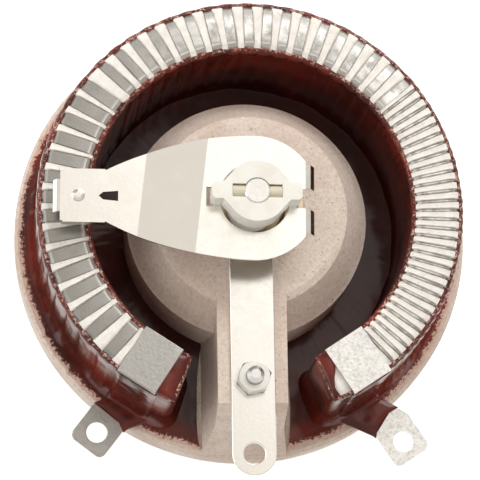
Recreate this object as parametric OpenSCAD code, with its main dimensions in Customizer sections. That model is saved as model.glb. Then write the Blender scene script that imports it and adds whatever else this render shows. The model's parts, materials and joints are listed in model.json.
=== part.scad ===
// Wirewound disc rheostat, seen from its rear: graded winding on a ceramic ring, rotary wiper.
// Origin: centre of the mounting face, on the shaft axis. +Z points to the rear, -Y to the terminals.

/* [Ceramic base] */
// Diameter of the ceramic base
base_d = 110; // [108:1:116]
// Thickness of the base disc
base_h = 8; // [7:0.5:9]
// Chamfer on the edges of the base disc
base_chamfer = 0.8; // [0.4:0.2:1.2]
// Depth of the hollow in the mounting face
recess_depth = 3; // [1:0.5:3]
// Diameter of the hub at its lower rim
hub_d = 57.4; // [54:0.2:60]
// Height of the hub's lower rim
hub_rim_h = 25; // [22:0.5:28]
// Diameter of the flat top of the hub
hub_top_d = 44.7; // [40:0.1:48]
// Height of the flat top of the hub
hub_h = 33.6; // [32:0.2:34]
// Width of the bridge that carries the centre terminal
bridge_w = 16.4; // [13:0.2:19]
// Widening of each side of the bridge towards its foot
bridge_flare = 2; // [0:0.2:3]
// Reach of the bridge's top from the axis
bridge_reach = 46; // [44:0.5:47]

/* [Winding] */
// Inner radius of the contact track
track_in_r = 39; // [38:0.2:40]
// Outer radius of the contact track
track_out_r = 49.2; // [48:0.2:49.6]
// Height of the contact track
track_z = 38.2; // [36:0.2:38.6]
// Thickness of the resistance ribbon
ribbon_t = 0.6; // [0.4:0.1:0.8]
// Width of the low-resistance ribbon
wide_w = 3; // [2.2:0.1:3.2]
// Turns of the low-resistance ribbon
wide_turns = 15; // [8:1:15]
// Degrees from one turn of the low-resistance ribbon to the next
wide_pitch = 5.9; // [5.5:0.05:5.9]
// Width of the middle ribbon
medium_w = 2.2; // [1.5:0.1:2.8]
// Turns of the middle ribbon
medium_turns = 18; // [8:1:18]
// Degrees from one turn of the middle ribbon to the next
medium_pitch = 5.65; // [5:0.05:5.65]
// Width of the fine resistance wire
fine_w = 0.6; // [0.4:0.1:1]
// Turns of the fine resistance wire
fine_turns = 31; // [12:1:31]
// Degrees from one turn of the fine wire to the next
fine_pitch = 2.83; // [2.4:0.01:2.83]
// Lean of each turn where it crosses the track
turn_lean = 2; // [0:0.5:4]
// Angle between each end of the ring and the bridge's centre line
ring_gap = 22.5; // [21:0.5:23.5]
// Thickness of the cement bed under the ring
bed_t = 0.8; // [0.5:0.1:1.2]

/* [Enamel] */
// Thickness of the enamel on the walls of the ring
enamel_t = 0.8; // [0.5:0.1:1]
// Thickness of the enamel on the floor of the base
enamel_floor_t = 0.6; // [0.4:0.1:1]
// Bare width left at the rim of the base
bare_rim = 1.4; // [1:0.2:2.4]

/* [Terminals] */
// Width of each terminal strip
strip_w = 10.3; // [9:0.1:11]
// Thickness of the centre terminal strip
strip_t = 1; // [0.6:0.1:1.2]
// Thickness of the end terminals' sheet
clamp_t = 0.8; // [0.5:0.1:0.9]
// Angle of each end clamp from the bridge's centre line
clamp_angle = 33.2; // [32.8:0.1:33.6]
// Diameter of the hole in each terminal
hole_d = 5; // [4:0.1:6]
// Distance from the axis to the centre terminal's hole
centre_hole_r = 57.9; // [56:0.1:62]
// Distance from the axis to the start terminal's hole
start_hole_r = 60.2; // [59.5:0.1:64]
// Distance from the axis to the end terminal's hole
end_hole_r = 63.9; // [61:0.1:66]
// Thread diameter of the terminal screw
screw_d = 4; // [3:0.5:4]
// Width across flats of the terminal nut
screw_nut_af = 7; // [6.5:0.1:8]
// Distance from the axis to the terminal screw
screw_r = 40.5; // [36:0.5:41]
// Radius of the contact ring round the shaft
collector_r = 13; // [12.5:0.1:13.5]

/* [Wiper] */
// Thickness of the wiper's sheet
arm_t = 0.7; // [0.5:0.1:0.9]
// Height of the wiper's top face at the shaft
arm_z = 46.2; // [45.6:0.1:47]
// Drop of the wiper from the shaft to the brush
arm_drop = 1.4; // [0.8:0.1:2]
// Radius of the wiper's round end
arm_r = 14.8; // [14:0.1:16]
// Half the width of the wiper's narrow end
neck_half_w = 6; // [5.6:0.1:6.4]
// Distance from the axis to the wiper's outer end
arm_reach = 45; // [44.6:0.1:46]
// Width of the brush across the arm
brush_w = 9.8; // [8:0.1:9.8]
// Length of the brush along the arm
brush_l = 5.2; // [4.6:0.2:5.2]
// Radius of the drive boss
boss_r = 7.2; // [6.6:0.1:7.6]
// Height of the drive boss's top face
boss_z = 53; // [51:0.5:54]
// Distance from the axis to the ends of the boss's wings
wing_reach = 10.4; // [9.8:0.1:10.8]
// Width of the boss's wings
wing_w = 4; // [3:0.2:4]
// Degrees that the wiper stands clockwise of its middle line at rest
rest_turn = 1; // [0:0.5:3]

/* [Shaft and bush] */
// Diameter of the control shaft
shaft_d = 6; // [5:0.1:6.4]
// Length of the control shaft in front of the mounting face
shaft_reach = 30; // [25:0.5:40]
// Length of the flat on the control shaft
flat_l = 7; // [4:0.5:7]
// Depth of the flat on the control shaft
flat_depth = 0.6; // [0.3:0.1:0.6]
// Thread diameter of the mounting bush
bush_d = 10; // [9.6:0.1:11]
// Length of the mounting bush in front of the mounting face
bush_reach = 12; // [10:0.5:14]
// Diameter of the cross pin
pin_d = 3; // [2:0.1:3]
// Diameter of the locating pin
locator_d = 3; // [2:0.1:4]
// Distance from the axis to the locating pin
locator_r = 16; // [14:0.5:18]

/* [Hidden] */
$fn = 96;

fit = 0.05;                 // radial clearance of a turning or pushed fit
slip = 0.1;                 // clearance between parts that are laid together
run = 0.25;                 // running gap between the wiper and the fixed parts
over = 1;                   // how far a cutting shape passes its face

base_r = base_d / 2;
hub_r = hub_d / 2;
floor_z = base_h + enamel_floor_t;
centre_line = -90;
start_angle = centre_line - clamp_angle;
end_angle = centre_line + clamp_angle;
ring_first = centre_line + ring_gap;
ring_sweep = 360 - 2 * ring_gap;

// The winding: sections follow each other clockwise from the start clamp.
core_top = track_z - ribbon_t;
foot_z = base_h + bed_t;
core_z = foot_z + ribbon_t;
crossing_gap = 0.1;
core_gap = 0.15;
core_in_r = track_in_r + ribbon_t + core_gap;
core_out_r = track_out_r - ribbon_t - core_gap;
track_mid_r = (track_in_r + track_out_r) / 2;
first_turn_gap = 11.4;
wide_first = 360 + start_angle - first_turn_gap;
wide_last = wide_first - (wide_turns - 1) * wide_pitch;
medium_first = wide_last - wide_pitch - 1.7;
medium_last = medium_first - (medium_turns - 1) * medium_pitch;
fine_first = medium_last - medium_pitch / 2 - fine_pitch / 2 + 1;
fine_last = fine_first - (fine_turns - 1) * fine_pitch;
cement_drop = 0.15;
cement_lip = 0.15;

wall_out_r = track_out_r + slip;
wall_in_r = track_in_r - slip;
plate_top = track_z + clamp_t;
plate_in_r = track_in_r - 0.4;
leg_r = wall_out_r;
tab_len = 9.2;
tab_w = 9.6;
tab_round = 1.4;

strip_top = hub_h + strip_t;
pocket_r = 9.6;
bush_nut_t = 3;
pocket_depth = bush_nut_t + 1.4;
bush_top = hub_h - 1;
screw_head_r = 3.5;
screw_head_z = 4;
screw_washer_t = 0.9;
screw_nut_t = 3.2;
screw_end = strip_top + screw_washer_t + screw_nut_t + 3;

arm_low = arm_z - arm_drop;
crease_in = -12.3;
crease_out = -26;
crease_lean = -6;
side_bow_r = 76;
tail_x = 11.8;
arm_hole_r = boss_r + 1.1;
brush_x = -arm_reach + 0.6;
brush_bottom = track_z + run;
holder_t = 0.5;
holder_top = arm_low - arm_t;
rivet_x = -40.8;
rivet_r = 0.8;
rivet_foot_r = 1.25;
slot_x = -33.8;
sleeve_r = 5.6;
sleeve_bottom = strip_top + run + 0.6;
leaf_half_w = 7.2;
leaf_leg_w = 4.6;
pin_z = boss_z - pin_d / 2;
pin_len = 11.4;
stop_r = 10.3;
stop_pin_r = 1.5;

flange_r = 9.8;
flange_t = 2.3;
locator_reach = 3;
locator_root_r = locator_d / 2 + 0.3;
locator_depth = 4.8;
clip_t = 0.8;
thrust_t = 0.5;
clip_z = -bush_reach - run - thrust_t - slip - clip_t;

function unit(a) = [cos(a), sin(a)];
function spin(p, a) = [p[0] * cos(a) - p[1] * sin(a), p[0] * sin(a) + p[1] * cos(a)];
// A point beside the centre line of the turn at angle a, at radius r
function beside(a, r, off) = spin([track_mid_r, 0] + spin([r - track_mid_r, off], turn_lean), a);

module slab(x0, x1, y0, y1, z0, z1)
    translate([x0, y0, z0]) cube([x1 - x0, y1 - y0, z1 - z0]);

module disc(r, z0, z1)
    translate([0, 0, z0]) cylinder(h = z1 - z0, r = r);

module tube(r_in, r_out, z0, z1)
    difference() {
        disc(r_out, z0, z1);
        disc(r_in, z0 - over, z1 + over);
    }

module hex_nut(af, bore_r, z0, z1)
    difference() {
        translate([0, 0, z0]) cylinder(h = z1 - z0, r = af / sqrt(3), $fn = 6);
        disc(bore_r, z0 - over, z1 + over);
    }

// A solid of revolution between two angles, from a profile of [radius, height] points
module swept(profile, from, sweep)
    rotate([0, 0, from]) rotate_extrude(angle = sweep) polygon(profile);

// A vertical sheet profile drawn in the XZ plane and run from y0 to y1
module along_y(profile, y0, y1)
    translate([0, y1, 0]) rotate([90, 0, 0]) linear_extrude(height = y1 - y0) polygon(profile);

// A profile drawn in the YZ plane and run from x0 to x1
module along_x(profile, x0, x1)
    translate([x0, 0, 0]) rotate([90, 0, 90]) linear_extrude(height = x1 - x0) polygon(profile);

// ---- Fixed parts -------------------------------------------------------------------------

module base_form() {
    c = base_chamfer;
    rotate_extrude() polygon([
        [0, 0], [base_r - c, 0], [base_r, c], [base_r, base_h - c], [base_r - c, base_h],
        [hub_r, base_h], [hub_r, hub_rim_h - c], [hub_r - c, hub_rim_h],
        [hub_top_d / 2 + c, hub_h - c], [hub_top_d / 2 - c, hub_h], [0, hub_h]]);
    bridge(0);
}

// The bridge's body; grow widens it where the enamel has to leave it bare
module bridge(grow) {
    foot = bridge_w / 2 + bridge_flare + grow;
    top = bridge_w / 2 + grow;
    bridge_foot_reach = base_r - bare_rim + 0.4;
    intersection() {
        rotate([90, 0, 0]) linear_extrude(height = base_r)
            polygon([[-foot, 0], [foot, 0], [foot, base_h], [top, base_h + 14], [top, hub_h],
                     [-top, hub_h], [-top, base_h + 14], [-foot, base_h]]);
        along_x([[0, 0], [0, hub_h], [-bridge_reach - grow, hub_h], [-bridge_reach - 3 - grow, hub_h - 8],
                 [-bridge_foot_reach - grow, base_h], [-bridge_foot_reach - grow, 0]], -base_r, base_r);
    }
}

module ceramic_base() color("#cdb9a8")
    difference() {
        base_form();
        disc(bush_d / 2 + slip, -over, hub_h + over);
        disc(flange_r + slip, -over, flange_t + fit);
        disc(pocket_r, hub_h - pocket_depth, hub_h + over);
        difference() {
            tube(23, base_r - 8, -over, recess_depth);
            translate([0, -screw_r, 0]) disc(screw_head_r + 5, -over, hub_h);
        }
        translate([0, -screw_r, 0]) {
            disc(screw_d / 2 + slip, -over, hub_h + over);
            disc(screw_head_r + 0.5, -over, screw_head_z + fit);
        }
        translate([0, stop_r, 0]) disc(stop_pin_r + fit, hub_h - 6, hub_h + over);
        translate([locator_r, 0, 0]) disc(locator_root_r + fit, -over, locator_depth + slip);
    }

module core_bed() color("#b8a497")
    swept([[core_in_r, base_h], [core_out_r, base_h], [core_out_r, foot_z], [core_in_r, foot_z]],
          ring_first, ring_sweep);

module winding_core() color("#c9b8ab")
    swept([[core_in_r, core_z], [core_out_r, core_z], [core_out_r, core_top], [core_in_r, core_top]],
          ring_first, ring_sweep);

// One turn: down the inner wall, across the track, down the outer wall
module turn(a, w)
    rotate([0, 0, a]) translate([track_mid_r, 0, 0]) rotate([0, 0, turn_lean])
        translate([-track_mid_r, 0, 0])
            along_y([[track_in_r, foot_z], [track_in_r, track_z - 0.5], [track_in_r + 0.5, track_z],
                     [track_out_r - 0.5, track_z], [track_out_r, track_z - 0.5], [track_out_r, foot_z],
                     [track_out_r - ribbon_t, foot_z], [track_out_r - ribbon_t, core_top],
                     [track_in_r + ribbon_t, core_top], [track_in_r + ribbon_t, foot_z]], -w / 2, w / 2);

// The crossing under the core from one turn's outer foot to the next turn's inner foot
module crossing(a, b, w) {
    half = w * 0.3;
    from_r = track_out_r - ribbon_t / 2;
    to_r = track_in_r + ribbon_t / 2;
    translate([0, 0, foot_z + crossing_gap]) linear_extrude(height = ribbon_t - 2 * crossing_gap)
        polygon([beside(a, from_r, half), beside(a, from_r, -half),
                 beside(b, to_r, -half), beside(b, to_r, half)]);
}

module winding(first, pitch, turns, w)
    for (i = [0 : turns - 1]) {
        a = first - i * pitch;
        turn(a, w);
        if (i < turns - 1) crossing(a, a - pitch, w);
    }

module ribbon_wide() color("#8b8b89") winding(wide_first, wide_pitch, wide_turns, wide_w);

module ribbon_medium() color("#97979a") winding(medium_first, medium_pitch, medium_turns, medium_w);

module wire_fine() color("#6f6a67") winding(fine_first, fine_pitch, fine_turns, fine_w);

// Cement wedge between the turn of width wa at angle a and the turn of width wb at angle b
module wedge(a, wa, b, wb) {
    r_in = track_in_r + cement_lip;
    r_out = track_out_r + cement_lip;
    translate([0, 0, core_top]) linear_extrude(height = ribbon_t - cement_drop)
        polygon([beside(a, r_in, -wa / 2 - fit), beside(a, r_out, -wa / 2 - fit),
                 beside(b, r_out, wb / 2 + fit), beside(b, r_in, wb / 2 + fit)]);
}

module wedge_row(first, pitch, turns, w)
    for (i = [0 : turns - 2]) wedge(first - i * pitch, w, first - (i + 1) * pitch, w);

module track_cement() color("#e3d6cf") {
    clamp_half = asin(strip_w / 2 / track_mid_r);
    wedge(360 + start_angle - clamp_half - 0.3, 0, wide_first, wide_w);
    wedge_row(wide_first, wide_pitch, wide_turns, wide_w);
    wedge(wide_last, wide_w, medium_first, medium_w);
    wedge_row(medium_first, medium_pitch, medium_turns, medium_w);
    wedge(medium_last, medium_w, fine_first, fine_w);
    wedge_row(fine_first, fine_pitch, fine_turns, fine_w);
}

module enamel_coat() color("#5e211b")
    difference() {
        difference() {
            union() {
                disc(base_r - bare_rim, base_h, floor_z);
                swept([[wall_in_r - enamel_t - 1.4, base_h], [wall_in_r - enamel_t - 1.4, floor_z],
                       [wall_in_r - enamel_t - 0.3, floor_z + 3], [wall_in_r - enamel_t, floor_z + 8],
                       [wall_in_r - enamel_t, track_z - 1], [wall_in_r + 0.3, track_z - 0.4],
                       [wall_out_r - 0.3, track_z - 0.6], [wall_out_r + enamel_t, track_z - 1.6],
                       [wall_out_r + enamel_t + 0.2, floor_z + 8],
                       [wall_out_r + enamel_t + 0.8, floor_z + 3],
                       [wall_out_r + enamel_t + 2.4, floor_z], [wall_out_r + enamel_t + 2.4, base_h]],
                      ring_first - 1.2, ring_sweep + 2.4);
                neck_cover(start_angle);
                neck_cover(end_angle);
            }
            terminal_clearance(start_angle, start_tab);
            terminal_clearance(end_angle, end_tab);
        }
        swept([[wall_in_r, base_h - over], [wall_out_r, base_h - over], [wall_out_r, plate_top + 2 * over],
               [wall_in_r, plate_top + 2 * over]], ring_first - 0.1, ring_sweep + 0.2);
        disc(hub_r + fit, base_h - over, hub_h + over);
        bridge(fit);
    }

module neck_cover(a)
    rotate([0, 0, a])
        slab(track_mid_r, leg_r + clamp_t + enamel_t, -strip_w / 2 - enamel_t, strip_w / 2 + enamel_t,
             base_h, track_z - 0.4);

module terminal_clearance(a, tab) {
    rotate([0, 0, a]) {
        slab(track_mid_r, leg_r + clamp_t + fit, -strip_w / 2 - fit, strip_w / 2 + fit,
             floor_z - fit, plate_top + over);
        slab(plate_in_r - clamp_t - fit, track_mid_r, -strip_w / 2 - fit, strip_w / 2 + fit,
             core_top - 8 - fit, plate_top + over);
    }
    translate([0, 0, floor_z - slip]) linear_extrude(height = clamp_t + 2 * slip) tab_outline(a, tab, slip);
}

// Each tab: [distance of its hole from the axis, angle of the hole, direction of the tab]
start_tab = [start_hole_r, start_angle - 2.8, start_angle - 4.6];
end_tab = [end_hole_r, end_angle + 3.8, end_angle];

function tab_corner(tab, along, across) = tab[0] * unit(tab[1]) + spin([along, across], tab[2]);

module tab_outline(a, tab, grow) {
    inner = -tab_len / 2 - 0.2;
    outer = tab_len / 2 + grow;
    half = tab_w / 2 + grow;
    r = tab_round;
    polygon([spin([leg_r, strip_w / 2 + grow], a), spin([leg_r, -strip_w / 2 - grow], a),
             spin([leg_r + clamp_t + 1, -strip_w / 2 - grow], a), tab_corner(tab, inner, -half),
             tab_corner(tab, outer - r, -half), tab_corner(tab, outer - 0.3 * r, -half + 0.3 * r),
             tab_corner(tab, outer, -half + r), tab_corner(tab, outer, half - r),
             tab_corner(tab, outer - 0.3 * r, half - 0.3 * r), tab_corner(tab, outer - r, half),
             tab_corner(tab, inner, half), spin([leg_r + clamp_t + 1, strip_w / 2 + grow], a)]);
}

// A sheet strip wrapped over the end of the ring, down its outer wall and out to a drilled tab
module end_clamp(a, tab)
    difference() {
        union() {
            rotate([0, 0, a]) {
                slab(plate_in_r - clamp_t, leg_r + clamp_t, -strip_w / 2, strip_w / 2, track_z, plate_top);
                slab(plate_in_r - clamp_t, plate_in_r, -strip_w / 2, strip_w / 2, core_top - 8, plate_top);
                slab(leg_r, leg_r + clamp_t, -strip_w / 2, strip_w / 2, floor_z, plate_top);
            }
            translate([0, 0, floor_z]) linear_extrude(height = clamp_t) tab_outline(a, tab, 0);
        }
        translate(concat(tab[0] * unit(tab[1]), 0)) disc(hole_d / 2, floor_z - over, floor_z + clamp_t + over);
    }

module start_terminal() color("#b9b7b2") end_clamp(start_angle, start_tab);

module end_terminal() color("#b9b7b2") end_clamp(end_angle, end_tab);

module centre_terminal() color("#d9d7d2")
    difference() {
        union() {
            disc(collector_r, hub_h, strip_top);
            slab(-strip_w / 2, strip_w / 2, -centre_hole_r, 0, hub_h, strip_top);
            translate([0, -centre_hole_r, 0]) disc(strip_w / 2, hub_h, strip_top);
        }
        disc(pocket_r - 1.4, hub_h - over, strip_top + over);
        translate([0, -centre_hole_r, 0]) disc(hole_d / 2, hub_h - over, strip_top + over);
        translate([0, -screw_r, 0]) disc(screw_d / 2 + slip, hub_h - over, strip_top + over);
        translate([0, stop_r, 0]) disc(stop_pin_r + slip, hub_h - over, strip_top + over);
    }

module terminal_screw() color("#c9c6c0") translate([0, -screw_r, 0]) {
    disc(screw_head_r, screw_head_z - 2.4, screw_head_z);
    rotate_extrude() polygon([[0, screw_head_z - over], [screw_d / 2, screw_head_z - over],
        [screw_d / 2, screw_end - 1], [screw_d / 2 - 0.9, screw_end], [0, screw_end]]);
}

module terminal_washer() color("#c9c6c0") translate([0, -screw_r, 0])
    tube(screw_d / 2 + slip, screw_nut_af / 2 - 0.1, strip_top, strip_top + screw_washer_t);

module terminal_nut() color("#c9c6c0") translate([0, -screw_r, 0])
    rotate([0, 0, 12]) intersection() {
        hex_nut(screw_nut_af, screw_d / 2 + fit, strip_top + screw_washer_t,
                strip_top + screw_washer_t + screw_nut_t);
        translate([0, 0, strip_top + screw_washer_t])
            cylinder(h = screw_nut_t, r1 = screw_nut_af / sqrt(3) + 2.2, r2 = screw_nut_af / 2 + 0.05);
    }

module stop_pin() color("#a9a6a0") translate([0, stop_r, 0])
    disc(stop_pin_r, hub_h - 6, arm_z - arm_t - 2);

module shaft_bush() color("#c8a95f")
    difference() {
        union() {
            disc(bush_d / 2, -bush_reach, bush_top);
            disc(flange_r, 0, flange_t);
        }
        disc(shaft_d / 2 + fit, -bush_reach - over, bush_top + over);
    }

module bush_nut() color("#c8a95f")
    hex_nut(14, bush_d / 2 + fit, hub_h - pocket_depth, hub_h - pocket_depth + bush_nut_t);

module locating_pin() color("#a9a6a0") translate([locator_r, 0, 0])
    rotate_extrude() {
        r = locator_d / 2;
        polygon([[0, -locator_reach], [r - 0.5, -locator_reach], [r, -locator_reach + 0.5], [r, 0],
                 [locator_root_r, 0], [locator_root_r, locator_depth], [0, locator_depth]]);
    }

// ---- Parts that turn with the shaft ------------------------------------------------------

module shaft() color("#c4c2be")
    difference() {
        rotate_extrude() {
            r = shaft_d / 2;
            groove_r = r - 0.6;
            groove_z = clip_z - fit;
            polygon([[0, -shaft_reach], [r - 0.5, -shaft_reach], [r, -shaft_reach + 0.5], [r, groove_z],
                     [groove_r, groove_z], [groove_r, groove_z + clip_t + 2 * fit],
                     [r, groove_z + clip_t + 2 * fit], [r, boss_z - 0.2], [r - 0.3, boss_z + 0.1],
                     [0, boss_z + 0.1]]);
        }
        rotate([0, 0, -rest_turn]) {
            slab(shaft_d / 2 - flat_depth, shaft_d, -shaft_d, shaft_d, -shaft_reach - over,
                 -shaft_reach + flat_l);
            translate([0, 0, pin_z]) rotate([0, 90, 0]) cylinder(h = 3 * shaft_d, r = pin_d / 2 + fit,
                                                                center = true);
        }
    }

module thrust_washer() color("#c8a95f")
    tube(shaft_d / 2 + slip, bush_d / 2 - 0.3, -bush_reach - run - thrust_t, -bush_reach - run);

module retaining_clip() color("#77736e")
    difference() {
        tube(shaft_d / 2 - 0.55, bush_d / 2 - 0.4, clip_z, clip_z + clip_t);
        slab(0, bush_d, -shaft_d / 2 + 0.9, shaft_d / 2 - 0.9, clip_z - over, clip_z + clip_t + over);
    }

module drive_boss() color("#efede2") rotate([0, 0, -rest_turn])
    difference() {
        union() {
            disc(boss_r, arm_z - arm_t, boss_z);
            disc(sleeve_r, sleeve_bottom, boss_z);
            wing();
            mirror([1, 0, 0]) wing();
        }
        disc(shaft_d / 2 + fit, sleeve_bottom - over, boss_z + over);
        slab(-pin_len / 2 - fit, pin_len / 2 + fit, -pin_d / 2 - fit, pin_d / 2 + fit,
             boss_z - pin_d - fit, boss_z + over);
    }

// A wing rests on the sheet beside the hole; the nib below it keys into the sheet
module wing() {
    half = wing_w / 2;
    difference() {
        translate([0, 0, arm_z + fit]) linear_extrude(height = boss_z - arm_z - fit)
            polygon([[0, -boss_r * 0.72], [boss_r * 0.7, -boss_r * 0.7], [boss_r + 0.6, -half],
                     [wing_reach - 0.7, -half], [wing_reach, -half + 0.7], [wing_reach, half - 0.7],
                     [wing_reach - 0.7, half], [boss_r + 0.6, half], [boss_r * 0.7, boss_r * 0.7],
                     [0, boss_r * 0.72]]);
        disc(boss_r - 1, 0, boss_z + over);
    }
    slab(wing_reach - 0.7, wing_reach - 0.1, -half + 0.2, half - 0.2, arm_z - arm_t + fit, arm_z + 1);
}

module cross_pin() color("#cfc49a") rotate([0, 0, -rest_turn])
    translate([0, 0, pin_z]) rotate([0, 90, 0]) cylinder(h = pin_len, r = pin_d / 2, center = true);

// Plan of the wiper: round at the shaft, bowed sides, narrow end over the track
module arm_plan(z0, z1) {
    intersection() {
        translate([0.8, arm_r - side_bow_r, 0]) cylinder(h = z1, r = side_bow_r, $fn = 240);
        translate([0.8, side_bow_r - arm_r, 0]) cylinder(h = z1, r = side_bow_r, $fn = 240);
        slab(-36, 0, -arm_r, arm_r, z0, z1);
    }
    intersection() {
        disc(arm_r, z0, z1);
        slab(-over, tail_x, -arm_r, arm_r, z0, z1);
    }
    slab(-arm_reach, -33, -neck_half_w, neck_half_w, z0, z1);
}

module wiper_arm() color("#dedbd4") rotate([0, 0, -rest_turn]) {
    difference() {
        intersection() {
            arm_plan(arm_low - 3, arm_z + 3);
            rotate([0, 0, crease_lean]) along_y([
                [arm_r + 4, arm_z], [crease_in, arm_z], [crease_out, arm_low], [-arm_reach - 8, arm_low],
                [-arm_reach - 8, arm_low - arm_t], [crease_out + 0.1, arm_low - arm_t],
                [crease_in + 0.1, arm_z - arm_t], [arm_r + 4, arm_z - arm_t]], -3 * arm_r, 3 * arm_r);
        }
        disc(arm_hole_r, 0, boss_z);
        slab(-wing_reach - 0.9, -wing_reach + 0.8, -wing_w / 2 - 0.3, wing_w / 2 + 0.3, 0, boss_z);
        slab(wing_reach - 0.8, arm_r + over, -wing_w / 2 - 0.3, wing_w / 2 + 0.3, 0, boss_z);
        translate([rivet_x, 0, 0]) disc(rivet_r + slip, 0, boss_z);
        translate([0, 0, arm_low - 2]) linear_extrude(height = 4)
            polygon([[slot_x - 2.3, 0], [slot_x - 1.3, 0.9], [slot_x + 2.2, 1.2], [slot_x + 2.2, -1.2],
                     [slot_x - 1.3, -0.9]]);
    }
    for (side = [-1, 1]) slab(-arm_reach + 0.6, -34.6, side * neck_half_w - arm_t / 2,
                              side * neck_half_w + arm_t / 2, arm_low - 2.6, arm_low);
    along_y([[-arm_reach + 0.01, arm_low], [-arm_reach - 0.8, arm_low - 0.2], [-arm_reach - 1.6, arm_low - 1.6],
             [-arm_reach - 1.1, arm_low - 2], [-arm_reach - 0.5, arm_low - 0.9],
             [-arm_reach + 0.01, arm_low - arm_t]], -3.8, 3.8);
    for (side = [-1, 1]) tail_tab(side);
}

module tail_tab(side) {
    y0 = side > 0 ? 2.5 : -8.2;
    along_y([[tail_x - 0.01, arm_z], [tail_x + 1.2, arm_z - 0.4], [tail_x + 2.3, arm_z - 2.6],
             [tail_x + 1.7, arm_z - 3], [tail_x + 0.8, arm_z - 1.1], [tail_x - 0.01, arm_z - arm_t]],
            y0, y0 + 5.7);
}

// Bronze leaf under the wiper's tail; its two feet slide on the contact ring
module contact_spring() color("#b98d57") rotate([0, 0, -rest_turn]) {
    top = arm_z - arm_t - fit;
    foot = strip_top + run;
    t = 0.4;
    for (y0 = [-leaf_half_w, leaf_half_w - leaf_leg_w])
        along_y([[8.9, top], [11.3, top], [11.3, top - t], [10.2, foot + 1], [11.2, foot + t],
                 [11.2, foot], [9.4, foot], [8.9, foot + 0.6], [9.7, foot + 1.2], [10.4, top - t],
                 [8.9, top - t]], y0, y0 + leaf_leg_w);
    slab(8.9, 11.3, -leaf_half_w, leaf_half_w, top - t, top);
}

module brush_holder() color("#cfccc4") rotate([0, 0, -rest_turn]) {
    half = brush_w / 2 + slip;
    difference() {
        along_x([[-half - holder_t, brush_bottom + 0.4], [-half - holder_t, holder_top],
                 [half + holder_t, holder_top], [half + holder_t, brush_bottom + 0.4],
                 [half, brush_bottom + 0.4], [half, holder_top - holder_t], [-half, holder_top - holder_t],
                 [-half, brush_bottom + 0.4]], brush_x - 0.1, brush_x + brush_l + 0.1);
        translate([rivet_x, 0, 0]) disc(rivet_r + slip, 0, boss_z);
    }
}

module contact_brush() color("#3b3735") rotate([0, 0, -rest_turn])
    difference() {
        along_y([[brush_x, brush_bottom + 0.6], [brush_x + 0.6, brush_bottom],
                 [brush_x + brush_l - 0.6, brush_bottom], [brush_x + brush_l, brush_bottom + 0.6],
                 [brush_x + brush_l, holder_top - holder_t - fit], [brush_x, holder_top - holder_t - fit]],
                -brush_w / 2, brush_w / 2);
        translate([rivet_x, 0, 0]) disc(rivet_foot_r + slip, holder_top - holder_t - 1, boss_z);
    }

module brush_rivet() color("#d5d2ca") rotate([0, 0, -rest_turn]) translate([rivet_x, 0, 0])
    rotate_extrude() {
        under = holder_top - holder_t - fit;
        above = arm_low + fit;
        polygon([[0, under - 0.5], [rivet_foot_r, under - 0.5], [rivet_foot_r, under], [rivet_r, under],
                 [rivet_r, above], [1.5, above], [1.3, above + 0.35], [0.7, above + 0.6],
                 [0, above + 0.6]]);
    }

ceramic_base();
core_bed();
winding_core();
ribbon_wide();
ribbon_medium();
wire_fine();
track_cement();
enamel_coat();
start_terminal();
end_terminal();
centre_terminal();
terminal_screw();
terminal_washer();
terminal_nut();
stop_pin();
shaft_bush();
bush_nut();
locating_pin();
shaft();
thrust_washer();
retaining_clip();
drive_boss();
cross_pin();
wiper_arm();
contact_spring();
brush_holder();
contact_brush();
brush_rivet();
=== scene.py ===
import json
import math
import bmesh
import bpy
import numpy as np
from mathutils import Matrix, Vector, noise


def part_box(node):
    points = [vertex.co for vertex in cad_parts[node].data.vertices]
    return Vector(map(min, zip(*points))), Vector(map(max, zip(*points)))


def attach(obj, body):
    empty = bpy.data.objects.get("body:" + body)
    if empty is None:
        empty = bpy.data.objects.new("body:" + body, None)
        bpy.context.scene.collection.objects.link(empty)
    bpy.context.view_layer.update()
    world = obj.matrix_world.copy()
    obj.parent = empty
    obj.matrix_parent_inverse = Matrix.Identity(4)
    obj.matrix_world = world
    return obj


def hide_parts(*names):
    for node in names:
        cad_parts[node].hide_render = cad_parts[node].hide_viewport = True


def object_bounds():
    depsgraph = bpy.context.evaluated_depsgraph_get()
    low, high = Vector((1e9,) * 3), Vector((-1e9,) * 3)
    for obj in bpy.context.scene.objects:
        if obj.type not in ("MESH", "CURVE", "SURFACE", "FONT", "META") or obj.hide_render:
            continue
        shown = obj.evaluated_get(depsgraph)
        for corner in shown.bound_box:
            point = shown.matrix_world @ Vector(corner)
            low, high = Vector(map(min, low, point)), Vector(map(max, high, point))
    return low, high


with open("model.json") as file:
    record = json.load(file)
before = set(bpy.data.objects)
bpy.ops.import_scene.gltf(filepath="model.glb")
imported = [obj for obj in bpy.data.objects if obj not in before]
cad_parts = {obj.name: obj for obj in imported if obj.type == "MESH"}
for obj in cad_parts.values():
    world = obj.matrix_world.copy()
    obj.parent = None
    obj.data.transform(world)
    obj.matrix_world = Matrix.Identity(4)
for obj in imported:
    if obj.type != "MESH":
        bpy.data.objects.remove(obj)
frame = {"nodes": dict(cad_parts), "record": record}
cadLow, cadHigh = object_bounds()
scene = bpy.context.scene
scene.view_settings.view_transform = "Standard"
cadNodes = frame["nodes"]
mm = 0.001
print("frame loaded:", len(cadNodes), "CAD nodes")


# Sizes that several pieces share, in millimetres, taken from the frame

def nodeBox(name):
    low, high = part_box(name)
    return low / mm, high / mm


coreLow, coreHigh = nodeBox("winding_core")
baseFoot = nodeBox("ceramic_base")[0].z
baseTop = nodeBox("core_bed")[0].z      # the level where the cement bed starts
ribbonThick = 0.6
trackTop = coreHigh.z + ribbonThick


# Camera

view = {"tilt": 14.37, "swing": 21.04, "roll": 0.94, "distance": 0.700, "lens": 218.95,
        "target": (-0.00123, -0.00385, 0.020)}


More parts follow.
